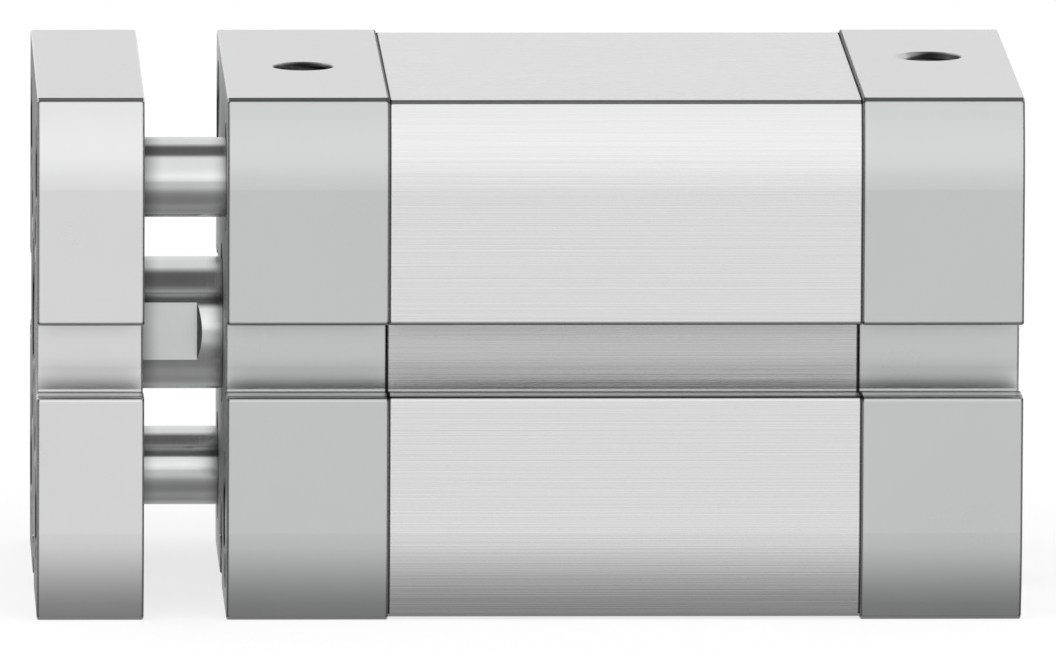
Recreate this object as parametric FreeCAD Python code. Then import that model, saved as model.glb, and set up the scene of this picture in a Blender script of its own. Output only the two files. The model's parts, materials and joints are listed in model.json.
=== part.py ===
import FreeCAD, Part
import math
import os

# Guided compact air cylinder. All sizes in millimetres.
# X runs along the stroke from the rear face at 0, Z is up towards the air ports.

# Cylinder and stroke
bore_diameter = 25.0
stroke = 20.0
rod_diameter = 10.0
end_gap = 1.0                 # piston to cap at either end of the stroke

# Sensor slot, a T with a flat floor and rounded inner corners
slot_wall = 1.2               # metal left between slot and bore
slot_floor_flat = 5.9         # width of the floor between its two rounded corners
slot_floor_radius = 0.45
slot_side = 2.6               # straight wall between the rounded corner and the lip
slot_undercut = 0.68          # how far each lip reaches over the slot
slot_lip = 3.0
slot_mouth_radius = 0.3       # round on both edges of its mouth

# Outline shared by caps, barrel and yoke
corner_radius = 20.0
screw_edge = 6.75             # from each side to the centres of the corner screws
edge_break = 0.26             # bevel on the long outer edges
end_break = 0.1               # bevel round the end faces
barrel_step = 0.2             # the barrel lies this far below the caps' faces

# Lengths along the stroke
cap_length = 12.1
spigot_length = 2.0
yoke_gap = 6.2                # bearing cap to yoke when retracted

# Guide rods and their bushes
guide_diameter = 6.0
guide_bush_wall = 1.0
guide_bush_recess = 1.0
guide_bush_bevel = 0.3
guide_seat_depth = 2.0        # guide rod let into the yoke
guide_end_gap = 1.5           # guide rod to the screw behind it when retracted
guide_channel_gap = 0.5       # guide rod to the barrel's corner channel, which the screws share
guide_end_bevel = 0.5

# Corner screws that hold the caps
collar_overhang = 1.3         # head beyond the shank, all round
collar_head_length = 5.0
collar_recess = 0.3
collar_engagement = 10.0      # length of shank in the barrel
collar_key = 4.0
collar_key_depth = 3.0
mount_thread_diameter = 4.2   # core of the M5 mounting threads
mount_thread_depth = 10.0

# Rod bearing and wiper
rod_bush_wall = 1.0
rod_bush_recess = 0.2         # bush to the bearing cap's inner face
wiper_groove_depth = 2.0
wiper_groove_length = 3.4
wiper_front_wall = 1.0        # metal in front of the wiper's groove
wiper_opening_gap = 0.9       # rod to the opening in that wall
wiper_lip = 0.7
wiper_waist = 0.6             # rod to the hollow between the two lips
wiper_recess = 0.25           # wiping lip to the cap's face

# Air ports and passages
port_thread_diameter = 4.2    # core of the M5 port threads
port_thread_depth = 6.0
front_port_offset = 1.5
front_port_flare = 0.25       # bevel at its mouth
rear_port_offset = -3.7
rear_port_flare = 0.45
passage_diameter = 2.2
passage_margin = 0.3          # passage to cushion ring

# Static seals, cushions and the rear centring bore
cap_seal_depth = 1.0
cap_seal_length = 1.2
cushion_margin = 0.6          # cushion ring to the bush's hole
cushion_width = 1.6
cushion_thickness = 0.8
centring_diameter = 9.0
centring_depth = 2.1

# Piston, a stack of rings clamped on a hub
rear_disc_floor = 0.2         # rear disc below its screw's head
seal_length = 1.5
seal_flare = 0.4              # how far a seal's lip stands out
magnet_length = 1.4
guide_ring_length = 1.3
front_disc_length = 1.3
rod_tail_diameter = 7.0
hub_wall = 3.5
piston_screw_diameter = 5.0
piston_screw_head_diameter = 9.4
piston_screw_length = 12.0
piston_screw_key = 3.0
piston_screw_key_depth = 2.5

# Wrench flats on the piston rod
flat_depth = 0.5
flat_length = 4.25
flat_run_out = 0.38

# Yoke fastening and yoke mounting threads
yoke_screw_diameter = 6.0
yoke_screw_head_diameter = 12.6
yoke_screw_length = 16.0
yoke_screw_key = 4.0
yoke_screw_key_depth = 3.0
yoke_screw_recess = 0.4
guide_screw_diameter = 3.3    # core of its M4 thread
guide_screw_length = 12.0
guide_screw_head_diameter = 7.0
guide_screw_head_length = 4.0
guide_screw_key = 3.0
guide_screw_key_depth = 2.0
guide_screw_recess = 0.2
yoke_web = 1.8                # metal under the guide rod screws' heads
yoke_pattern_wall = 2.6       # yoke screw's head to the mounting threads round it

# Clearances
running_gap = 0.03            # radial, between sliding pieces
seat_gap = 0.02               # radial, threads and pins that are fixed
head_gap = 0.2                # radial, round screw heads
bolt_gap = 0.2                # radial, round screw shanks
spigot_gap = 0.05             # radial, cap spigots in the bore
piston_gap = 0.3              # radial, piston discs in the bore
magnet_gap = 0.5              # radial, magnet in the bore
thread_end_gap = 0.5          # screw tip to the end of its hole

# Widths worked out from those above
bore_radius = bore_diameter / 2
rod_radius = rod_diameter / 2
slot_floor = bore_radius + slot_wall
slot_chamber = slot_floor_flat + 2 * slot_floor_radius
slot_opening = slot_chamber - 2 * slot_undercut
half_width = slot_floor + slot_floor_radius + slot_side + slot_lip
corner = half_width - screw_edge
channel_diameter = guide_diameter + 2 * guide_channel_gap
collar_head_diameter = channel_diameter + 2 * collar_overhang
guide_bush_diameter = guide_diameter + 2 * guide_bush_wall
rod_bush_diameter = rod_diameter + 2 * rod_bush_wall
wiper_groove_radius = rod_radius + wiper_groove_depth
wiper_opening_radius = rod_radius + wiper_opening_gap
cushion_inner_diameter = rod_bush_diameter + 2 * cushion_margin
cushion_outer_diameter = cushion_inner_diameter + 2 * cushion_width
passage_radius = cushion_outer_diameter / 2 + passage_margin + passage_diameter / 2
hub_diameter = rod_tail_diameter + 2 * hub_wall
yoke_hole_diameter = guide_screw_head_diameter + 2 * head_gap
yoke_pattern_radius = yoke_screw_head_diameter / 2 + yoke_pattern_wall + mount_thread_diameter / 2

# Stations along the stroke
rear_disc_length = (piston_screw_head_diameter - piston_screw_diameter) / 2 + rear_disc_floor
yoke_thickness = guide_seat_depth + yoke_web + guide_screw_head_length + guide_screw_recess
barrel_start = cap_length
chamber_start = barrel_start + spigot_length
piston_rear = chamber_start + end_gap
rear_seal_start = piston_rear + rear_disc_length
magnet_start = rear_seal_start + seal_length
guide_ring_start = magnet_start + magnet_length
front_seal_start = guide_ring_start + guide_ring_length
front_disc_start = front_seal_start + seal_length
piston_front = front_disc_start + front_disc_length
chamber_end = piston_front + stroke + end_gap
barrel_end = chamber_end + spigot_length
front_face = barrel_end + cap_length
yoke_back = front_face + yoke_gap
yoke_front = yoke_back + yoke_thickness
wiper_front = front_face - wiper_front_wall
wiper_rear = wiper_front - wiper_groove_length
screw_tip = cap_length + collar_engagement
guide_rear = screw_tip + guide_end_gap
guide_seat = yoke_back + guide_seat_depth

guide_corners = [(corner, corner), (-corner, -corner)]
screw_corners = [(-corner, corner), (corner, -corner)]
all_corners = guide_corners + screw_corners


def at(x, y, z):
    return FreeCAD.Vector(x, y, z)


def cylinder(diameter, x0, x1, y=0.0, z=0.0):
    """A round bar along X between two stations, given in either order."""
    return Part.makeCylinder(diameter / 2, abs(x1 - x0), at(min(x0, x1), y, z), at(1, 0, 0))


def tube(outer, inner, x0, x1, y=0.0, z=0.0):
    return cylinder(outer, x0, x1, y, z).cut(cylinder(inner, x0, x1, y, z))


def cone(diameter0, diameter1, x0, x1, y=0.0, z=0.0):
    return Part.makeCone(diameter0 / 2, diameter1 / 2, x1 - x0, at(x0, y, z), at(1, 0, 0))


def hexagon(across, x0, x1, y=0.0, z=0.0):
    """A hexagonal bar along X, with two of its flats level."""
    reach = across / math.sqrt(3)
    angles = [math.radians(60 * side) for side in range(7)]
    ring = [at(min(x0, x1), y + reach * math.cos(a), z + reach * math.sin(a)) for a in angles]
    return Part.Face(Part.makePolygon(ring)).extrude(at(abs(x1 - x0), 0, 0))


def turned(points):
    """A ring turned about the X axis from a closed outline of (x, radius) points."""
    outline = [at(x, 0, radius) for x, radius in points]
    return Part.Face(Part.makePolygon(outline + outline[:1])).revolve(at(0, 0, 0), at(1, 0, 0), 360)


def cut_all(shape, cutters):
    return shape.cut(Part.Compound(cutters))


class Outline:
    """A closed outline across the cylinder at one station, drawn edge by edge."""

    def __init__(self, x, start):
        self.x = x
        self.start = self.last = at(x, *start)
        self.edges = []

    def line(self, end):
        end = at(self.x, *end)
        self.edges.append(Part.LineSegment(self.last, end).toShape())
        self.last = end

    def arc(self, middle, end):
        end = at(self.x, *end)
        self.edges.append(Part.Arc(self.last, at(self.x, *middle), end).toShape())
        self.last = end

    def solid(self, length):
        self.edges.append(Part.LineSegment(self.last, self.start).toShape())
        return Part.Face(Part.Wire(self.edges)).extrude(at(length, 0, 0))


def draw_slot(outline, face, place):
    """Draws one sensor slot. Place turns (distance along the side, distance out) into (y, z)."""
    mouth = slot_opening / 2
    chamber = slot_chamber / 2
    lip = half_width - slot_lip
    round_start = slot_floor + slot_floor_radius
    round_end = chamber - slot_floor_radius
    slant = slot_floor_radius * math.sqrt(0.5)
    mouth_start = mouth + slot_mouth_radius
    mouth_end = face - slot_mouth_radius
    mouth_slant = slot_mouth_radius * math.sqrt(0.5)
    outline.line(place(-mouth_start, face))
    outline.arc(place(mouth_slant - mouth_start, mouth_end + mouth_slant), place(-mouth, mouth_end))
    outline.line(place(-mouth, lip))
    outline.line(place(-chamber, lip))
    outline.line(place(-chamber, round_start))
    outline.arc(place(-round_end - slant, round_start - slant), place(-round_end, slot_floor))
    outline.line(place(round_end, slot_floor))
    outline.arc(place(round_end + slant, round_start - slant), place(chamber, round_start))
    outline.line(place(chamber, lip))
    outline.line(place(mouth, lip))
    outline.line(place(mouth, mouth_end))
    outline.arc(place(mouth_start - mouth_slant, mouth_end + mouth_slant), place(mouth_start, face))


def body_block(x0, x1, inset=0.0):
    """The shared outline as a bar: bowed sides, slots in both sides and the underside, flat top."""
    face = half_width - inset
    straight = corner
    radius = corner_radius - inset
    centre = half_width - corner_radius

    def side(z):
        return centre + math.sqrt(radius**2 - (abs(z) - straight) ** 2)

    top_edge = side(face) - edge_break
    arc_end = face - edge_break
    arc_middle = (straight + arc_end) / 2
    outline = Outline(x0, (top_edge, face))
    outline.line((side(arc_end), arc_end))
    outline.arc((side(arc_middle), arc_middle), (face, straight))
    draw_slot(outline, face, lambda along, out: (out, -along))
    outline.line((face, -straight))
    outline.arc((side(arc_middle), -arc_middle), (side(arc_end), -arc_end))
    outline.line((top_edge, -face))
    draw_slot(outline, face, lambda along, out: (-along, -out))
    outline.line((-top_edge, -face))
    outline.line((-side(arc_end), -arc_end))
    outline.arc((-side(arc_middle), -arc_middle), (-face, -straight))
    draw_slot(outline, face, lambda along, out: (-out, along))
    outline.line((-face, straight))
    outline.arc((-side(arc_middle), arc_middle), (-side(arc_end), arc_end))
    outline.line((-top_edge, face))
    return outline.solid(x1 - x0)


def broken_ends(block, stations):
    """Bevels the outline's edges at the given stations."""
    edges = []
    for edge in block.Edges:
        box = edge.BoundBox
        if box.XLength < end_break and any(abs(box.Center.x - x) < end_break for x in stations):
            edges.append(edge)
    return block.makeChamfer(end_break, edges)


def spigot(root, inward):
    """A cap's spigot in the bore: a neck for the seal ring, then a collar that fits the bore."""
    collar = bore_diameter - 2 * spigot_gap
    neck = bore_diameter - 2 * cap_seal_depth
    shoulder = root + inward * cap_seal_length
    tip = root + inward * spigot_length
    return cylinder(neck, root, shoulder).fuse(cylinder(collar, shoulder, tip))


def cap_seal(root, inward):
    neck = bore_diameter - 2 * cap_seal_depth
    return tube(bore_diameter - 2 * seat_gap, neck, root, root + inward * cap_seal_length)


def cushion_ring(seat, inward):
    """A flat ring on a cap's inner face, towards the piston."""
    return tube(cushion_outer_diameter, cushion_inner_diameter, seat, seat + inward * cushion_thickness)


def port_cutters(x, y, flare, chamber_face):
    """A threaded port from the top face and the two drillings that lead it to the chamber."""
    height = math.sqrt(passage_radius**2 - y**2)
    bottom = half_width - port_thread_depth
    core = port_thread_diameter / 2
    up = at(0, 0, 1)
    thread = Part.makeCylinder(core, port_thread_depth, at(x, y, bottom), up)
    mouth = Part.makeCone(core, core + flare, flare, at(x, y, half_width - flare), up)
    drop = Part.makeCylinder(passage_diameter / 2, bottom - height, at(x, y, height), up)
    return [thread, mouth, drop, cylinder(passage_diameter, x, chamber_face, y, height)]


def collar_screw(face, inward, y, z):
    """A cap screw whose head carries a mounting thread, entered at a cap's outer face."""
    top = face + inward * collar_recess
    neck = top + inward * collar_head_length
    head = cylinder(collar_head_diameter, top, neck, y, z)
    shank = cylinder(channel_diameter - 2 * seat_gap, neck, face + inward * screw_tip, y, z)
    thread = cylinder(mount_thread_diameter, top, top + inward * mount_thread_depth, y, z)
    key = hexagon(collar_key, top, top + inward * collar_key_depth, y, z)
    return cut_all(head.fuse(shank), [thread, key])


def collar_holes(face, inward, y, z):
    head_end = face + inward * (collar_recess + collar_head_length)
    return [
        cylinder(collar_head_diameter + 2 * head_gap, face, head_end, y, z),
        cylinder(channel_diameter + 2 * bolt_gap, face, face + inward * cap_length, y, z),
    ]


def end_cap():
    cap = broken_ends(body_block(0, cap_length), [0, cap_length])
    cap = cap.fuse(spigot(barrel_start, 1))
    cutters = [cylinder(centring_diameter, 0, centring_depth)]
    for y, z in all_corners:
        cutters += collar_holes(0, 1, y, z)
    cutters += port_cutters(cap_length / 2, rear_port_offset, rear_port_flare, chamber_start)
    return cut_all(cap, cutters)


def barrel():
    cutters = [cylinder(bore_diameter, barrel_start, barrel_end)]
    for y, z in all_corners:
        cutters.append(cylinder(channel_diameter, barrel_start, barrel_end, y, z))
    return cut_all(body_block(barrel_start, barrel_end, barrel_step), cutters)


def bearing_cap():
    cap = broken_ends(body_block(barrel_end, front_face), [barrel_end, front_face])
    cap = cap.fuse(spigot(barrel_end, -1))
    cutters = [
        cylinder(rod_bush_diameter, chamber_end, wiper_front),
        cylinder(2 * wiper_groove_radius, wiper_rear, wiper_front),
        cylinder(2 * wiper_opening_radius, wiper_front, front_face),
    ]
    for y, z in guide_corners:
        cutters.append(cylinder(guide_bush_diameter, barrel_end, front_face, y, z))
    for y, z in screw_corners:
        cutters += collar_holes(front_face, -1, y, z)
    cutters += port_cutters(front_face - cap_length / 2, front_port_offset, front_port_flare, chamber_end)
    return cut_all(cap, cutters)


def rod_bearing_bush():
    inner = rod_diameter + 2 * running_gap
    return tube(rod_bush_diameter, inner, chamber_end + rod_bush_recess, wiper_rear)


def rod_wiper_seal():
    """One ring with a sealing lip at the back and a wiping lip that reaches almost to the front face."""
    touch = rod_radius + running_gap
    waist = rod_radius + wiper_waist
    tip = front_face - wiper_recess
    return turned(
        [
            (wiper_rear, wiper_groove_radius),
            (wiper_front, wiper_groove_radius),
            (wiper_front, wiper_opening_radius - seat_gap),
            (tip, touch),
            (wiper_front - wiper_lip, waist),
            (wiper_rear + 2 * wiper_lip, waist),
            (wiper_rear + wiper_lip, touch),
            (wiper_rear, touch + wiper_lip),
        ]
    )


def guide_bush(y, z):
    inner = guide_diameter + 2 * running_gap
    front = front_face - guide_bush_recess
    bush = tube(guide_bush_diameter, inner, barrel_end, front, y, z)
    return bush.cut(cone(inner, inner + 2 * guide_bush_bevel, front - guide_bush_bevel, front, y, z))


def guide_rod(y, z):
    shoulder = guide_rear + guide_end_bevel
    rear_end = cone(guide_diameter - 2 * guide_end_bevel, guide_diameter, guide_rear, shoulder, y, z)
    rod = rear_end.fuse(cylinder(guide_diameter, shoulder, guide_seat, y, z))
    thread_end = guide_seat + yoke_web - guide_screw_length - thread_end_gap
    return rod.cut(cylinder(guide_screw_diameter + 2 * seat_gap, thread_end, guide_seat, y, z))


def guide_rod_screw(y, z):
    """A socket screw through the yoke into the end of a guide rod."""
    under_head = guide_seat + yoke_web
    top = under_head + guide_screw_head_length
    head = cylinder(guide_screw_head_diameter, under_head, top, y, z)
    shank = cylinder(guide_screw_diameter, under_head - guide_screw_length, under_head, y, z)
    key = hexagon(guide_screw_key, top - guide_screw_key_depth, top, y, z)
    return head.fuse(shank).cut(key)


def head_cone(head, shank, top, inward):
    """The cone under a flat head, at half a right angle, from its top to the shank."""
    end = top + inward * (head - shank) / 2
    if inward > 0:
        return cone(head, shank, top, end)
    return cone(shank, head, end, top)


def yoke_plate():
    plate = broken_ends(body_block(yoke_back, yoke_front), [yoke_back, yoke_front])
    top = yoke_front - yoke_screw_recess
    cutters = [
        head_cone(yoke_screw_head_diameter, yoke_screw_diameter, top, -1),
        cylinder(yoke_screw_head_diameter, top, yoke_front),
        cylinder(yoke_screw_diameter + 2 * bolt_gap, yoke_back, yoke_front),
    ]
    for y, z in screw_corners:
        cutters.append(cylinder(yoke_hole_diameter, yoke_back, yoke_front, y, z))
    for y, z in guide_corners:
        cutters.append(cylinder(guide_diameter, yoke_back, guide_seat, y, z))
        cutters.append(cylinder(guide_screw_diameter + 2 * bolt_gap, guide_seat, yoke_front, y, z))
        cutters.append(cylinder(yoke_hole_diameter, guide_seat + yoke_web, yoke_front, y, z))
    reach = yoke_pattern_radius * math.sqrt(0.5)
    for y in (-reach, reach):
        for z in (-reach, reach):
            cutters.append(cylinder(mount_thread_diameter, yoke_back, yoke_front, y, z))
    return cut_all(plate, cutters)


def yoke_screw():
    top = yoke_front - yoke_screw_recess
    head = head_cone(yoke_screw_head_diameter, yoke_screw_diameter, top, -1)
    shank = cylinder(yoke_screw_diameter, top - yoke_screw_length, top)
    return head.fuse(shank).cut(hexagon(yoke_screw_key, top - yoke_screw_key_depth, top))


def wrench_flat(sign):
    """The wedge that cuts one wrench flat and its short run-out."""
    start = yoke_back - flat_length
    low = sign * (rod_radius - flat_depth)
    high = sign * rod_radius
    outline = [
        at(yoke_back, low, -rod_diameter),
        at(start, low, -rod_diameter),
        at(start - flat_run_out, high, -rod_diameter),
        at(start - flat_run_out, 2 * high, -rod_diameter),
        at(yoke_back, 2 * high, -rod_diameter),
    ]
    return Part.Face(Part.makePolygon(outline + outline[:1])).extrude(at(0, 0, 2 * rod_diameter))


def piston_rod():
    rod = cylinder(rod_tail_diameter, rear_seal_start, piston_front)
    rod = rod.fuse(cylinder(rod_diameter, piston_front, yoke_back))
    yoke_thread_end = yoke_front - yoke_screw_recess - yoke_screw_length - thread_end_gap
    piston_thread_end = piston_rear + piston_screw_length + thread_end_gap
    cutters = [
        cylinder(yoke_screw_diameter + 2 * seat_gap, yoke_thread_end, yoke_back),
        cylinder(piston_screw_diameter + 2 * seat_gap, rear_seal_start, piston_thread_end),
        wrench_flat(1),
        wrench_flat(-1),
    ]
    return cut_all(rod, cutters)


def piston_screw():
    head = head_cone(piston_screw_head_diameter, piston_screw_diameter, piston_rear, 1)
    shank = cylinder(piston_screw_diameter, piston_rear, piston_rear + piston_screw_length)
    key_end = piston_rear + piston_screw_key_depth
    return head.fuse(shank).cut(hexagon(piston_screw_key, piston_rear, key_end))


def piston_rear_disc():
    """The loose disc that the screw clamps against the stack."""
    disc = cylinder(bore_diameter - 2 * piston_gap, piston_rear, rear_seal_start)
    cutters = [
        head_cone(piston_screw_head_diameter, piston_screw_diameter, piston_rear, 1),
        cylinder(piston_screw_diameter + 2 * bolt_gap, piston_rear, rear_seal_start),
    ]
    return cut_all(disc, cutters)


def piston_hub():
    """The front disc with the hub that carries the rings, bored for the rod's tail."""
    disc = cylinder(bore_diameter - 2 * piston_gap, front_disc_start, piston_front)
    hub = cylinder(hub_diameter, rear_seal_start, front_disc_start)
    return disc.fuse(hub).cut(cylinder(rod_tail_diameter, rear_seal_start, piston_front))


def piston_seal(base, outward):
    """A cup seal on the hub: flat back at its base, lips towards the pressure."""
    tip = base + outward * seal_length
    hub = hub_diameter / 2
    touch = bore_radius - running_gap
    cup = ((tip + base) / 2, (hub + touch) / 2)
    return turned([(base, hub), (base, touch - seal_flare), (tip, touch), cup, (tip, hub)])


def piston_magnet():
    return tube(bore_diameter - 2 * magnet_gap, hub_diameter, magnet_start, guide_ring_start)


def piston_guide_ring():
    return tube(bore_diameter - 2 * running_gap, hub_diameter, guide_ring_start, front_seal_start)


def parts():
    upper, lower = guide_corners
    rear_screws = [collar_screw(0, 1, y, z) for y, z in all_corners]
    front_screws = [collar_screw(front_face, -1, y, z) for y, z in screw_corners]
    guide_screws = [guide_rod_screw(y, z) for y, z in guide_corners]
    return {
        "end_cap": end_cap(),
        "barrel": barrel(),
        "bearing_cap": bearing_cap(),
        "rear_collar_screws": Part.Compound(rear_screws),
        "front_collar_screws": Part.Compound(front_screws),
        "rod_bearing_bush": rod_bearing_bush(),
        "rod_wiper_seal": rod_wiper_seal(),
        "guide_bush_upper": guide_bush(*upper),
        "guide_bush_lower": guide_bush(*lower),
        "rear_cap_seal": cap_seal(barrel_start, 1),
        "front_cap_seal": cap_seal(barrel_end, -1),
        "rear_cushion_ring": cushion_ring(chamber_start, 1),
        "front_cushion_ring": cushion_ring(chamber_end, -1),
        "piston_rod": piston_rod(),
        "piston_rear_disc": piston_rear_disc(),
        "piston_hub": piston_hub(),
        "piston_seal_rear": piston_seal(magnet_start, -1),
        "piston_seal_front": piston_seal(front_seal_start, 1),
        "piston_magnet": piston_magnet(),
        "piston_guide_ring": piston_guide_ring(),
        "piston_screw": piston_screw(),
        "yoke_plate": yoke_plate(),
        "yoke_screw": yoke_screw(),
        "guide_rod_upper": guide_rod(*upper),
        "guide_rod_lower": guide_rod(*lower),
        "guide_rod_screws": Part.Compound(guide_screws),
    }


os.makedirs("parts", exist_ok=True)
for name, shape in parts().items():
    shape.exportStep(f"parts/{name}.step")
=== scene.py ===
"""Looks of the guided compact air cylinder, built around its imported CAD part.

Lengths are in metres. Places on the part that a material tests are in millimetres, and say so.
"""

import json
import math

import bmesh
import bpy
from mathutils import Matrix, Vector


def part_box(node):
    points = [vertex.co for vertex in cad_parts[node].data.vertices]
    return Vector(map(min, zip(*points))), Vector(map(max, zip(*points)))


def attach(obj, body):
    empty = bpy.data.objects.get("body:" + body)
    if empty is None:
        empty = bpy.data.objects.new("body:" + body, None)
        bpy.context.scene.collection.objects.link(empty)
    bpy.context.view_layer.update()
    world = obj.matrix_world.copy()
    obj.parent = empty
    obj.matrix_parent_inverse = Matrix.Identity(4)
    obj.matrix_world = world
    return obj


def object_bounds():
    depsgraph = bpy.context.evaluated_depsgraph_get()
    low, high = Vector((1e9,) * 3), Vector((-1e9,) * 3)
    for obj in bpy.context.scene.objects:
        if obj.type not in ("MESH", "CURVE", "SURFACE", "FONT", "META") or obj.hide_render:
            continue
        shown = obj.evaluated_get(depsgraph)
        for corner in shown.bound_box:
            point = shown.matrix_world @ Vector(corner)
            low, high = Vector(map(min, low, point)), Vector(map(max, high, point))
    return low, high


MM = 0.001

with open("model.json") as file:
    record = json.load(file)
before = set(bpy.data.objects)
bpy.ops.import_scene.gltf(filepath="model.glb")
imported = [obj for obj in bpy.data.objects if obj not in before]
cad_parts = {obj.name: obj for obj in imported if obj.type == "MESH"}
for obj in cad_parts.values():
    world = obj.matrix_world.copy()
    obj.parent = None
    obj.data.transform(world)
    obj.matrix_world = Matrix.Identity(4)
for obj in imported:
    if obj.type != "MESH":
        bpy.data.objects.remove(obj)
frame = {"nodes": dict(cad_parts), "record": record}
cad_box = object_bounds()
nodes = frame["nodes"]
mounts = {mount["name"]: mount for mount in frame["record"]["mounts"]}

# Camera, fitted to the photograph's frame
frame_width = 1056                     # pixels
focal_length_pixels = 22685
sensor_width = 36                      # millimetres, the unit that the camera data uses
camera_distance = 1.7157
camera_turn = math.radians(177.935)    # from -Y, about +Z
camera_elevation = math.radians(8.705)
camera_roll = math.radians(0.269)
camera_clip_start = 0.01
aim = Vector((0.0365, 0, 0))
aim_shift = (0.0825 * MM, -0.2358 * MM)  # image centre from the aim, to the right and up

# Light
floor_size = 12.0
floor_albedo = 0.30
floor_mottle = 1.01                    # the floor's lighter tone against its darker one
floor_stretch = (0.05, 0.05, 0.05)
white_lift = 0.74                      # what the floor lacks to look white
dome_level = 0.75                      # the soft light on whatever is matt
key_place = (0.05, 0.55, 0.85)
key_size = (1.2, 0.9)
key_power = 3.5                        # watts
# What metal sees round it: grey ground, white walls and a dark ceiling. Each row has the height of
# a direction, the level there on the camera's side and the level on the far side.
studio = [
    (-1.00, 0.28, 0.28), (-0.96, 0.21, 0.25), (-0.89, 0.20, 0.27), (-0.80, 0.22, 0.33),
    (-0.69, 0.25, 0.36), (-0.56, 0.34, 0.40), (-0.43, 0.53, 0.44), (-0.33, 0.65, 0.50),
    (-0.11, 0.70, 0.57), (-0.05, 0.98, 0.80), (0.00, 1.00, 0.82), (0.20, 1.00, 0.82),
    (0.42, 0.90, 0.79), (0.52, 0.85, 0.77), (0.86, 0.82, 0.75), (0.91, 0.82, 0.44),
    (0.967, 0.13, 0.12), (1.00, 0.11, 0.11),
]
studio_turn = (-0.5, 0.5)              # from the far side to the camera's, by the direction's Y

# Finishes
noise_middle = (0.3, 0.7)              # what a noise's values mostly lie between
satin_roughness = 0.27
milled_roughness = 0.5
cloud_dulling = 1.15                   # the most that a cloud adds to them
ring_dulling = 1.5                     # the most that turning marks add to a rod's roughness
oxide_roughness = 0.2

# Which way a face looks, by the part of its normal along an axis
square_on = (0.9, 0.95)                # along the axis, from a face that leans to one square on
sideways = (0.99, 0.998)               # along Y, for the flats and sides of rods
bevelled = (0.55, 0.77)                # along X or Y, on a bevel
edge_up = (0.5, 0.6)                   # along Z, from an upright edge to one on top
edge_down = (-0.5, -0.3)               # along Z, from an edge that faces down to an upright one
underside = (-0.30, -0.05)             # along Z, from a bowed underside to an upright face
rod_flank = (0.38, 0.66)               # along Z, where a painted reflection of the rod above goes
rod_flank_soft = 0.03
camera_side = (0.1, 0.2)               # along Y, from the far side to the camera's

# Half widths over which a level changes, in millimetres or as part of a normal
soft = 0.05
softer = 0.1

# Painted shade: dark lines along the edges and in the crevices of the aluminium, and in those of
# steel parts.
# A span is the openness at which a line is darkest and at which it ends.
occlusion_samples = 16
edge_reach = 0.21 * MM
edge_span = (0.82, 0.92)
edge_shade = 0.06
crevice_reach = 3.0 * MM
crevice_span = (0.13, 0.96)
steel_crevice_reach = 1.6 * MM
steel_crevice_span = (0.40, 0.98)
steel_crevice_shade = 0.25
bevel_shade = 0.55
bevel_start = 18.4                     # painted shade falls on bevels from here outwards, mm from the axis
joints = [corner.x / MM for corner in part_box("barrel")]
joint_reach = 1.0                      # mm from a joint to where edges on top stay light

# Painted shade: the colour is darker inside the barrel's slots
slot_depth = (17.4, 17.5)              # mm from the axis
slot_shade = 0.73

# Painted shade on the slots' lips, for the slots' dark corners that they see, most of all along both
# of their edges
lip_shade = 0.68
lip_edge_shade = 0.25
lip_span = (16.75, 19.4)               # mm from the axis
lip_edge_width = 0.6                   # mm
lip_half_gap = (2.76, 2.80)            # mm from the slot's middle
corner_glint = 0.9                     # level of a painted glint in the slots' rounded inner corners
corner_span = (13.6, 14.25)            # mm from the axis
corner_reach = (2.95, 3.55)            # mm from the slot's middle
floor_span = (13.5, 13.9)              # mm from the axis
floor_reach = (2.9, 3.0)               # mm from the slot's middle
painted_floor_light = 1.5                       # painted light low on the slots' floor, where the lip's reflection is too dark
painted_floor_light_span = (-2.3, -1.4)         # height of this, mm

# Threads
thread_pitch = 0.8 * MM
thread_height = 0.22 * MM
thread_steps = 28                      # per turn
thread_start = 0.30                    # middle of the first ridge below the mouth, in pitches
thread_run_in = 0.25                   # in turns
thread_half_width = 0.42               # in pitches
port_depth = 6.0 * MM                  # from the caps' top, with the flare at the mouth
port_shade = 0.15                       # painted shade: little light gets into them
crest_light = 0.6                       # painted light: most of that little light falls on the thread's crests
port_glints = {"front_air_port": 0.0, "rear_air_port": 0.40}  # mm of the flare that keep a painted glint
port_rim = 0.15                        # mm over which the flare brightens
port_span = (8.0, 9.0)                 # height from which the ports' levels count, mm
screw_key_depth = 3.0 * MM             # the corner screws' threads start below their key sockets


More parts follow.
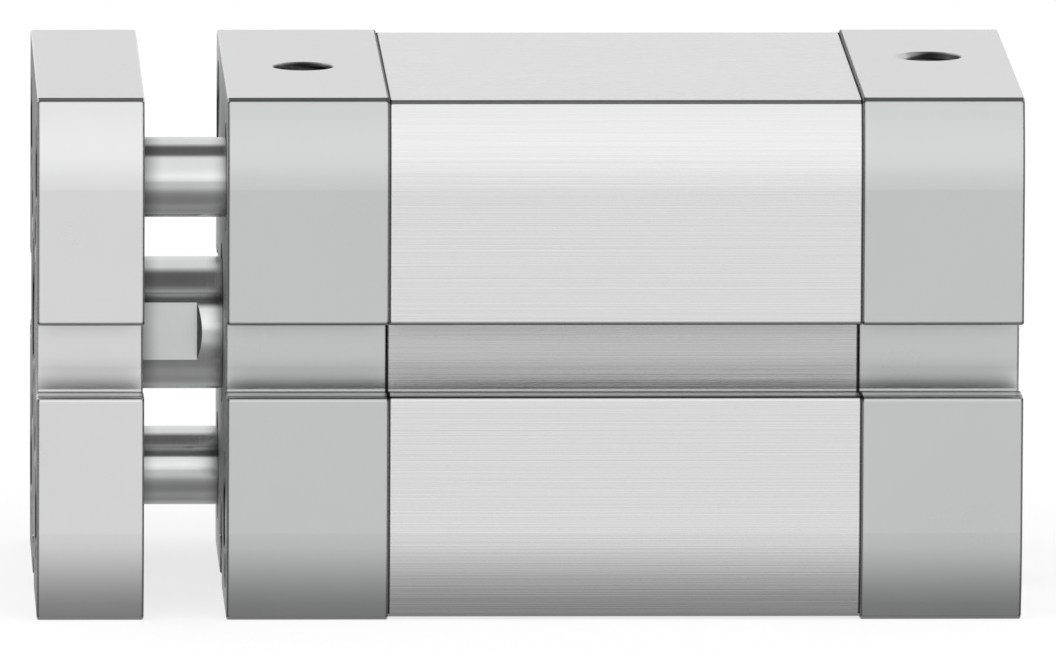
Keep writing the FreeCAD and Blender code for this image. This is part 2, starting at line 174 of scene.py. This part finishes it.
class Shader:
    """A node tree with short ways to add nodes, links and the textures that the materials share."""

    def __init__(self, tree):
        self.tree = tree

    def add(self, kind, inputs=None, **settings):
        node = self.tree.nodes.new(kind)
        for name, value in settings.items():
            setattr(node, name, value)
        for name, value in (inputs or {}).items():
            if isinstance(value, bpy.types.NodeSocket):
                self.tree.links.new(value, node.inputs[name])
            else:
                node.inputs[name].default_value = value
        return node

    # Values

    def scaled(self, color, level):
        inputs = {0: color, "Scale": level}
        return self.add("ShaderNodeVectorMath", inputs, operation="SCALE").outputs["Vector"]

    def distance(self, first, second):
        inputs = {0: first, 1: second}
        return self.add("ShaderNodeVectorMath", inputs, operation="DISTANCE").outputs["Value"]

    def product(self, first, second):
        return self.add("ShaderNodeMath", {0: first, 1: second}, operation="MULTIPLY").outputs[0]

    def larger(self, first, second):
        return self.add("ShaderNodeMath", {0: first, 1: second}, operation="MAXIMUM").outputs[0]

    def smaller(self, first, second):
        return self.add("ShaderNodeMath", {0: first, 1: second}, operation="MINIMUM").outputs[0]

    def size_of(self, value):
        return self.add("ShaderNodeMath", {0: value}, operation="ABSOLUTE").outputs[0]

    def parts(self, vector):
        return self.add("ShaderNodeSeparateXYZ", {"Vector": vector}).outputs

    def between(self, factor, low, high, from_low=noise_middle[0], from_high=noise_middle[1]):
        """A range, which is a noise's middle unless another is given, spread over two values."""
        inputs = {"Value": factor, "From Min": from_low, "From Max": from_high}
        inputs.update({"To Min": low, "To Max": high})
        return self.add("ShaderNodeMapRange", inputs).outputs["Result"]

    def choose(self, mask, outside, inside):
        """One value where a mask is zero and another where it is one."""
        return self.between(mask, outside, inside, 0, 1)

    def opposite(self, mask):
        return self.choose(mask, 1, 0)

    def within(self, value, low, high, half_width=soft):
        """One where the value lies between two bounds and zero elsewhere."""
        above = self.between(value, 0, 1, low - half_width, low + half_width)
        below = self.between(value, 1, 0, high - half_width, high + half_width)
        return self.product(above, below)

    def ramp(self, factor, stops):
        """A value that follows levels at given positions."""
        ramp = self.add("ShaderNodeValToRGB", {"Fac": factor})
        elements = ramp.color_ramp.elements
        while len(elements) < len(stops):
            elements.new(1.0)
        for element, (position, level) in zip(elements, stops):
            element.position = position
            element.color = (level, level, level, 1)
        return ramp.outputs["Color"]

    # Places, directions and textures

    def place(self, stretch=(1, 1, 1)):
        """Points on the piece, in millimetres, stretched along each axis."""
        point = self.add("ShaderNodeTexCoord").outputs["Object"]
        scale = [factor / MM for factor in stretch]
        return self.add("ShaderNodeMapping", {"Vector": point, "Scale": scale}).outputs["Vector"]

    def section(self):
        """The smaller and the larger distance from the axis across the stroke, in millimetres."""
        point = self.parts(self.place())
        reach = [self.size_of(point[axis]) for axis in "YZ"]
        return self.smaller(*reach), self.larger(*reach)

    def facing(self, axis):
        """The part of the normal along an axis."""
        return self.parts(self.add("ShaderNodeNewGeometry").outputs["Normal"])[axis]

    def openness(self, reach, **settings):
        """How much of what lies within reach is free, from zero to one."""
        inputs = {"Distance": reach}
        node = self.add("ShaderNodeAmbientOcclusion", inputs, samples=occlusion_samples, **settings)
        return node.outputs["AO"]

    def noise(self, stretch, detail=3.0, roughness=0.5):
        """Lumps about a millimetre in size, divided by the stretch of each axis."""
        inputs = {"Vector": self.place(stretch), "Scale": 1.0}
        inputs.update({"Detail": detail, "Roughness": roughness})
        return self.add("ShaderNodeTexNoise", inputs).outputs["Fac"]

    def tones(self, factor, dark, light):
        """A texture turned into a colour between two tones."""
        inputs = {"Factor": factor, "A": (*dark, 1), "B": (*light, 1)}
        return self.add("ShaderNodeMix", inputs, data_type="RGBA").outputs["Result"]

    def mottled(self, texture, tone, darkest, span=noise_middle):
        """A tone that a texture darkens in places."""
        dark = [darkest * value for value in tone]
        return self.tones(self.between(texture, 0, 1, *span), dark, tone)

    def bump(self, height, depth):
        return self.add("ShaderNodeBump", {"Height": height, "Distance": depth}).outputs["Normal"]

    # Levels by the direction of a face

    def on_ends(self, level, other):
        """One value on the faces across the stroke and another on all others."""
        return self.between(self.size_of(self.facing("X")), other, level, *square_on)

    def on_back(self, level):
        """A value on the faces that look back along the stroke and one on all others."""
        backwards = [-part for part in reversed(square_on)]
        return self.between(self.facing("X"), level, 1, *backwards)

    def on_top(self, level):
        """A value on the faces that look up and one on all others."""
        return self.between(self.facing("Z"), 1, level, *square_on)

    def on_underside(self, level):
        """A value on the faces that look down, rising to one on upright faces."""
        return self.between(self.facing("Z"), level, 1, *underside)

    def on_sides(self, level):
        """A value on the faces that look straight to either side, painted shade on rods, and one on
        all others.
        """
        return self.between(self.size_of(self.facing("Y")), 1, level, *sideways)

    def on_flank(self, level):
        """A value on the near flank of a rod: a painted reflection of the underside of the rod above
        it.
        """
        flank = self.within(self.facing("Z"), *rod_flank, rod_flank_soft)
        near = self.between(self.facing("Y"), 0, 1, *camera_side)
        return self.choose(self.product(flank, near), 1, level)

    # Levels of painted shade and light by place on the part

    def near_joint(self):
        """One close to the joints between the barrel and the caps and zero elsewhere."""
        along = self.parts(self.place())["X"]
        bands = [self.within(along, at - joint_reach, at + joint_reach, softer) for at in joints]
        return self.larger(*bands)

    def painted_edge_shading(self):
        """Painted shade along edges, on the outer bevels and in crevices. Edges that face down stay
        light, and so do those on top away from the joints."""
        down = self.between(self.facing("Z"), 1, 0, *edge_down)
        up = self.between(self.facing("Z"), 0, 1, *edge_up)
        joint = self.near_joint()
        near, far = self.section()

        edge = self.openness(edge_reach, inside=True, only_local=True)
        edge = self.between(edge, edge_shade, 1, *edge_span)
        free = self.larger(down, self.product(up, self.opposite(joint)))
        edge = self.larger(edge, free)

        bevel = self.product(self.within(self.size_of(self.facing("X")), *bevelled), joint)
        bevel = self.larger(bevel, self.within(self.size_of(self.facing("Y")), *bevelled))
        bevel = self.product(bevel, self.opposite(down))
        outside = self.between(far, 0, 1, bevel_start - softer, bevel_start + softer)
        bevel = self.choose(self.product(bevel, outside), 1, bevel_shade)

        corner = self.product(self.within(near, *corner_reach), self.within(far, *corner_span))
        crevice = self.openness(crevice_reach, only_local=True)
        crevice = self.between(crevice, edge_shade, 1, *crevice_span)
        # A painted glint in the slots' rounded inner corners lifts the painted crevice shade there
        crevice = self.larger(crevice, self.product(corner, corner_glint))
        return self.product(self.product(edge, bevel), crevice)

    def painted_slot_shading(self):
        """Painted shade on the sides of the slots' lips and painted light low on the slots' floor."""
        near, far = self.section()
        lip = self.product(self.between(near, 1, 0, *lip_half_gap), self.on_ends(0, 1))
        lip = self.product(lip, self.within(far, *lip_span))
        middle = self.within(far, lip_span[0] + lip_edge_width, lip_span[1] - lip_edge_width, softer)
        lip = self.choose(lip, 1, self.choose(middle, lip_edge_shade, lip_shade))

        height = self.parts(self.place())["Z"]
        lift = self.between(height, painted_floor_light, 1, *painted_floor_light_span)
        floor = self.product(self.between(near, 1, 0, *floor_reach), self.within(far, *floor_span))
        return self.product(lip, self.choose(floor, 1, lift))

    def painted_port_shading(self):
        """Painted shade inside the two air ports, painted light on the thread's crests and a painted
        glint on the rear port's flare.
        """
        flat = self.place((1, 1, 0))
        levels = []
        for name, glint in port_glints.items():
            x, y = [value / MM for value in mounts[name]["pos_m"][:2]]
            bore, length = [mounts[name]["dims"][size] for size in ("r_mm", "length_mm")]
            mouth = bore + port_depth / MM - length
            crest = bore - thread_height / MM
            away = self.distance(flat, (x, y, 0))
            level = self.between(away, crest_light, port_shade, crest, bore - soft)
            for reach in (away, self.distance(flat, (x - glint, y, 0))):
                level = self.larger(level, self.between(reach, port_shade, 1, mouth - port_rim, mouth))
            levels.append(level)
        height = self.parts(self.place())["Z"]
        return self.larger(self.product(*levels), self.between(height, 1, 0, *port_span))

    def painted_steel_shade(self):
        """Painted shade in sockets and next to other pieces."""
        crevice = self.openness(steel_crevice_reach)
        return self.between(crevice, steel_crevice_shade, 1, *steel_crevice_span)


def new_material(name):
    material = bpy.data.materials.new(name)
    material.use_nodes = True
    return material, Shader(material.node_tree), material.node_tree.nodes["Principled BSDF"]


def even(value):
    """The same value for each axis or colour."""
    return (value, value, value)


def finish_material(shader, principled, color, roughness, normal, metallic):
    shader.tree.links.new(color, principled.inputs["Base Color"])
    shader.tree.links.new(roughness, principled.inputs["Roughness"])
    shader.tree.links.new(normal, principled.inputs["Normal"])
    principled.inputs["Metallic"].default_value = metallic


def finish_anodised(shader, principled, color, roughness, normal, oxide, level):
    """Metal under anodising's clear layer. The level is painted shade and light: it scales the colour
    and dims the layer and the specular tint where it is low.
    """
    finish_material(shader, principled, shader.scaled(color, level), roughness, normal, metallic=1.0)
    shader.tree.links.new(shader.product(level, oxide), principled.inputs["Coat Weight"])
    shader.tree.links.new(level, principled.inputs["Specular Tint"])
    principled.inputs["Coat Roughness"].default_value = oxide_roughness


def satin_aluminium(name, tone, end_shade_tone, back_shade_tone, top_shade, underside_shade, ports=False):
    """Blasted and anodised: a fine even grain. The end faces are milled. End faces, back faces, tops
    and undersides get painted shade and light.
    """
    material, shader, principled = new_material(name)
    grain = shader.noise(even(18), detail=4.0)
    cloud = shader.noise(even(0.12))
    color = shader.mottled(cloud, tone, darkest=0.97)
    # Painted shade and light: end faces, back faces, tops and undersides each get a tone of their own
    # for how light falls on them
    color = shader.scaled(color, shader.on_ends(end_shade_tone / tone[0], 1))
    color = shader.scaled(color, shader.on_back(back_shade_tone / end_shade_tone))
    slope_shade = shader.product(shader.on_top(top_shade), shader.on_underside(underside_shade))
    color = shader.scaled(color, slope_shade)
    roughness = shader.on_ends(milled_roughness, satin_roughness)
    roughness = shader.product(roughness, shader.between(cloud, 1, cloud_dulling))
    normal = shader.bump(grain, depth=0.004 * MM)
    # Painted shade along edges, in crevices, on the slots' lips and in the ports, and painted light
    # low on the slots' floors and on the ports' thread crests
    level = shader.product(shader.painted_edge_shading(), shader.painted_slot_shading())
    if ports:
        level = shader.product(level, shader.painted_port_shading())
    oxide = shader.on_ends(0, 1)
    finish_anodised(shader, principled, color, roughness, normal, oxide, level)
    return material


def brushed_aluminium(name, tone, top_shade, underside_shade):
    """Extruded and brushed along the stroke: long fine lines."""
    material, shader, principled = new_material(name)
    lines = shader.noise((0.004, 9, 9), detail=5.0, roughness=0.65)
    fine = shader.noise((0.02, 26, 26), detail=2.0)
    color = shader.mottled(lines, tone, darkest=0.92)
    far = shader.section()[1]
    # Painted shade inside the slots
    color = shader.scaled(color, shader.between(far, slot_shade, 1, *slot_depth))
    # Painted shade and light on tops and undersides
    slope_shade = shader.product(shader.on_top(top_shade), shader.on_underside(underside_shade))
    color = shader.scaled(color, slope_shade)
    roughness = shader.between(fine, low=0.24, high=0.32)
    normal = shader.bump(fine, depth=0.010 * MM)
    # Painted shade along edges, in crevices and on the slots' lips, and painted light low on the
    # slots' floors
    level = shader.product(shader.painted_edge_shading(), shader.painted_slot_shading())
    finish_anodised(shader, principled, color, roughness, normal, oxide=1.0, level=level)
    return material


def turned_metal(name, tone, gloss, ring_depth, side_shade=1.0, flank_reflection=1.0):
    """Turned or ground about the stroke: faint rings."""
    material, shader, principled = new_material(name)
    rings = shader.noise((14, 0.4, 0.4))
    cloud = shader.noise(even(0.2))
    color = shader.mottled(cloud, tone, darkest=0.93)
    # Painted shade on the rods' sides and a painted reflection of the rod above on the near flank
    level = shader.product(shader.on_sides(side_shade), shader.on_flank(flank_reflection))
    # Painted shade in crevices next to other pieces
    color = shader.scaled(color, shader.product(shader.painted_steel_shade(), level))
    roughness = shader.between(rings, gloss, ring_dulling * gloss)
    normal = shader.bump(rings, ring_depth)
    finish_material(shader, principled, color, roughness, normal, metallic=1.0)
    return material


def zinc_steel(name, tone):
    """Plated screws: small soft spangles."""
    material, shader, principled = new_material(name)
    spangle = shader.noise(even(3), detail=5.0)
    color = shader.mottled(spangle, tone, darkest=0.8)
    # Painted shade in sockets and next to other pieces
    color = shader.scaled(color, shader.painted_steel_shade())
    roughness = shader.between(spangle, low=0.28, high=0.42)
    normal = shader.bump(spangle, depth=0.006 * MM)
    finish_material(shader, principled, color, roughness, normal, metallic=1.0)
    return material


def sintered_bronze(name, tone):
    """Porous bearing metal: dark pores in a warm ground."""
    material, shader, principled = new_material(name)
    pores = shader.noise(even(9), detail=2.0)
    color = shader.mottled(pores, tone, darkest=0.35, span=(0.36, 0.5))
    roughness = shader.between(pores, low=0.6, high=0.4)
    normal = shader.bump(pores, depth=0.012 * MM)
    finish_material(shader, principled, color, roughness, normal, metallic=1.0)
    return material


def moulded(name, tone, gloss):
    """Moulded plastic or rubber: a slight cloud in tone and gloss over a fine grain."""
    material, shader, principled = new_material(name)
    grain = shader.noise(even(12))
    cloud = shader.noise(even(0.7))
    color = shader.mottled(cloud, tone, darkest=0.8)
    roughness = shader.between(cloud, *gloss)
    normal = shader.bump(grain, depth=0.006 * MM)
    finish_material(shader, principled, color, roughness, normal, metallic=0.0)
    return material


def make_materials():
    rod = {"tone": (0.88, 0.89, 0.89), "gloss": 0.10, "ring_depth": 0.0005 * MM, "side_shade": 0.89}
    return {
        # The end, back, top and underside tones are painted shade and light; the yoke's outer end
        # face is painted at less than half its sides' tone
        "caps": satin_aluminium(
            "cap_aluminium", tone=(0.715, 0.725, 0.725), end_shade_tone=0.76, back_shade_tone=0.76,
            top_shade=0.965, underside_shade=0.84, ports=True,
        ),
        "yoke": satin_aluminium(
            "yoke_aluminium", tone=(0.89, 0.895, 0.895), end_shade_tone=0.37, back_shade_tone=0.75,
            top_shade=0.78, underside_shade=0.79,
        ),
        "barrel": brushed_aluminium(
            "barrel_aluminium", tone=(0.96, 0.965, 0.965), top_shade=0.86, underside_shade=0.80
        ),
        "piston": turned_metal(
            "piston_aluminium", tone=(0.78, 0.79, 0.80), gloss=0.28, ring_depth=0.006 * MM
        ),
        "upper_rod": turned_metal("upper_rod_steel", **rod),
        # The lower rods get a painted reflection of the rod above on their near flank
        "lower_rods": turned_metal("lower_rod_steel", **rod, flank_reflection=0.45),
        "screws": zinc_steel("screw_steel", tone=(0.60, 0.61, 0.62)),
        "bushes": sintered_bronze("bearing_bronze", tone=(0.42, 0.31, 0.20)),
        "lips": moulded("seal_polyurethane", tone=(0.045, 0.045, 0.05), gloss=(0.38, 0.50)),
        "rubber": moulded("seal_rubber", tone=(0.03, 0.03, 0.03), gloss=(0.55, 0.70)),
        "magnet": moulded("magnet_plastic", tone=(0.07, 0.07, 0.075), gloss=(0.45, 0.60)),
        "guide_ring": moulded("guide_ring_plastic", tone=(0.72, 0.70, 0.64), gloss=(0.40, 0.50)),
    }


# Which nodes each material is for
covers = {
    "caps": ["end_cap", "bearing_cap"],
    "yoke": ["yoke_plate"],
    "barrel": ["barrel"],
    "piston": ["piston_rear_disc", "piston_hub"],
    "upper_rod": ["guide_rod_upper"],
    "lower_rods": ["piston_rod", "guide_rod_lower"],
    "screws": [
        "rear_collar_screws", "front_collar_screws", "piston_screw", "yoke_screw", "guide_rod_screws",
    ],
    "bushes": ["rod_bearing_bush", "guide_bush_upper", "guide_bush_lower"],
    "lips": [
        "rod_wiper_seal", "piston_seal_rear", "piston_seal_front", "rear_cushion_ring",
        "front_cushion_ring",
    ],
    "rubber": ["rear_cap_seal", "front_cap_seal"],
    "magnet": ["piston_magnet"],
    "guide_ring": ["piston_guide_ring"],
}


def dress(node, material):
    """Gives a CAD node its material. Its faces are apart, so each is smooth up to its own edges."""
    node.data.materials.clear()
    node.data.materials.append(material)
    node.data.shade_smooth()


def inner_thread(name, mouth, axis, radius, length, body, slot, material):
    """Right-handed ridges on the wall of a threaded hole, from its mouth inwards."""
    mesh = bmesh.new()
    turns = int(length / thread_pitch) - 1
    rail = [(-thread_half_width, 0.0), (0.0, -1.0), (thread_half_width, 0.0)]
    rows = []
    total = turns * thread_steps
    for step in range(total + 1):
        turn = step / thread_steps
        angle = -2 * math.pi * turn
        fade = min(1.0, turn / thread_run_in, (total - step) / thread_steps)
        row = []
        for along, inwards in rail:
            reach = radius + inwards * fade * thread_height
            depth = max(0.0, thread_pitch * (turn + thread_start + along))
            row.append(mesh.verts.new((reach * math.cos(angle), reach * math.sin(angle), -depth)))
        rows.append(row)
    for before, after in zip(rows, rows[1:]):
        for i in range(len(rail) - 1):
            mesh.faces.new((before[i], before[i + 1], after[i + 1], after[i]))
    tilt = Vector((0, 0, 1)).rotation_difference(Vector(axis)).to_matrix().to_4x4()
    mesh.transform(Matrix.Translation(mouth) @ tilt)
    data = bpy.data.meshes.new(name)
    mesh.to_mesh(data)
    mesh.free()
    piece = bpy.data.objects.new(name, data)
    bpy.context.scene.collection.objects.link(piece)
    data.materials.append(material)
    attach(piece, body)


def add_port_threads(materials):
    finish = ("housing", "anodised_aluminium", materials["caps"])
    for name, cap in (("front_air_port", "bearing_cap"), ("rear_air_port", "end_cap")):
        mount = mounts[name]
        radius, length = mount["dims"]["r_mm"] * MM, mount["dims"]["length_mm"] * MM
        mouth = Vector(mount["pos_m"])
        mouth.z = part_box(cap)[1].z - port_depth + length
        inner_thread(name + "_thread", mouth, mount["axis"], radius, length, *finish)


def add_screw_threads(materials):
    """In the corner screws: four at the rear, two at the front where there is no guide rod."""
    finish = ("housing", "screw_steel", materials["screws"])
    half = mounts["rear_mounting_threads"]["dims"]["spacing_x_mm"] / 2 * MM
    radius = mounts["rear_mounting_threads"]["dims"]["hole_r_mm"] * MM
    length = mounts["front_mounting_thread_upper"]["dims"]["length_mm"] * MM - screw_key_depth
    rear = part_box("rear_collar_screws")[0].x + screw_key_depth
    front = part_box("front_collar_screws")[1].x - screw_key_depth
    places = [(rear, -1, y, z) for y in (-half, half) for z in (-half, half)]
    places += [(front, 1, -half, half), (front, 1, half, -half)]
    for number, (x, out, y, z) in enumerate(places, 1):
        mouth = Vector((x, y, z))
        inner_thread(f"screw_{number}_thread", mouth, (out, 0, 0), radius, length, *finish)


def add_yoke_threads(materials):
    finish = ("slider", "anodised_aluminium", materials["yoke"])
    reach = mounts["yoke_mounting_threads"]["dims"]["pcd_mm"] / 2 * math.sqrt(0.5) * MM
    radius = mounts["rear_mounting_threads"]["dims"]["hole_r_mm"] * MM
    low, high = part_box("yoke_plate")
    places = [(y, z) for y in (-reach, reach) for z in (-reach, reach)]
    for number, (y, z) in enumerate(places, 1):
        mouth = Vector((high.x, y, z))
        inner_thread(f"yoke_{number}_thread", mouth, (1, 0, 0), radius, high.x - low.x, *finish)


def add_floor():
    """A pale floor that looks white to the camera and keeps the shadow."""
    bpy.ops.mesh.primitive_plane_add(size=floor_size, location=(aim.x, 0, cad_box[0][2]))
    floor = bpy.context.object
    floor.name = "floor"
    floor.visible_glossy = False       # metal sees the studio's ground instead
    material = bpy.data.materials.new("floor")
    material.use_nodes = True
    shader = Shader(material.node_tree)
    shader.tree.nodes.remove(shader.tree.nodes["Principled BSDF"])
    path = shader.add("ShaderNodeLightPath").outputs
    seen = shader.larger(path["Is Camera Ray"], path["Is Transmission Ray"])
    glow = shader.add("ShaderNodeEmission", {"Strength": shader.product(seen, white_lift)})
    paper = shader.noise(floor_stretch)
    tone = shader.tones(paper, even(floor_albedo), even(floor_albedo * floor_mottle))
    matt = shader.add("ShaderNodeBsdfDiffuse", {"Color": tone})
    both = shader.add("ShaderNodeAddShader", {0: matt.outputs[0], 1: glow.outputs[0]})
    shader.tree.links.new(both.outputs[0], shader.tree.nodes["Material Output"].inputs["Surface"])
    floor.data.materials.append(material)


def add_world():
    """A soft dome for whatever is matt, and the white studio for the camera, metal and glass."""
    world = bpy.data.worlds.new("studio")
    bpy.context.scene.world = world
    world.use_nodes = True
    shader = Shader(world.node_tree)
    direction = shader.parts(shader.add("ShaderNodeTexCoord").outputs["Generated"])
    height = shader.between(direction["Z"], 0, 1, -1, 1)
    near = shader.ramp(height, [((rise + 1) / 2, level) for rise, level, _ in studio])
    far = shader.ramp(height, [((rise + 1) / 2, level) for rise, _, level in studio])
    level = shader.between(direction["Y"], far, near, *studio_turn)
    path = shader.add("ShaderNodeLightPath").outputs
    inputs = {"Factor": path["Is Camera Ray"], "A": level, "B": (1, 1, 1, 1)}
    white = shader.add("ShaderNodeMix", inputs, data_type="RGBA").outputs["Result"]
    sharp = shader.larger(path["Is Glossy Ray"], path["Is Transmission Ray"])
    seen = shader.larger(path["Is Camera Ray"], sharp)
    dome = shader.tree.nodes["Background"]
    dome.inputs["Color"].default_value = (*even(dome_level), 1)
    backdrop = shader.add("ShaderNodeBackground", {"Color": white})
    both = shader.add("ShaderNodeMixShader", {0: seen, 1: dome.outputs[0], 2: backdrop.outputs[0]})
    shader.tree.links.new(both.outputs[0], shader.tree.nodes["World Output"].inputs["Surface"])


def add_lamp(name, place, size, power):
    data = bpy.data.lights.new(name, "AREA")
    data.shape = "RECTANGLE"
    data.size, data.size_y = size
    data.energy = power
    lamp = bpy.data.objects.new(name, data)
    lamp.location = place
    lamp.rotation_euler = (aim - Vector(place)).to_track_quat("-Z", "Y").to_euler()
    lamp.visible_glossy = False        # metal sees the studio's walls instead
    bpy.context.scene.collection.objects.link(lamp)


def add_camera():
    level = math.cos(camera_elevation)
    back = Vector(
        (math.sin(camera_turn) * level, -math.cos(camera_turn) * level, math.sin(camera_elevation))
    )
    right = Vector((0, 0, 1)).cross(back).normalized()
    up = back.cross(right)
    centre = aim + aim_shift[0] * right + aim_shift[1] * up
    place = centre + camera_distance * back
    axes = Matrix((right, up, back)).transposed() @ Matrix.Rotation(camera_roll, 3, "Z")
    data = bpy.data.cameras.new("camera")
    data.sensor_fit = "HORIZONTAL"
    data.sensor_width = sensor_width
    data.lens = focal_length_pixels / frame_width * sensor_width
    data.clip_start = camera_clip_start
    camera = bpy.data.objects.new("camera", data)
    camera.matrix_world = Matrix.Translation(place) @ axes.to_4x4()
    bpy.context.scene.collection.objects.link(camera)
    bpy.context.scene.camera = camera


materials = make_materials()
for name, members in covers.items():
    for member in members:
        dress(nodes[member], materials[name])
add_port_threads(materials)
add_screw_threads(materials)
add_yoke_threads(materials)
add_floor()
add_world()
add_lamp("key", key_place, key_size, key_power)
add_camera()
bpy.context.scene.view_settings.view_transform = "Standard"
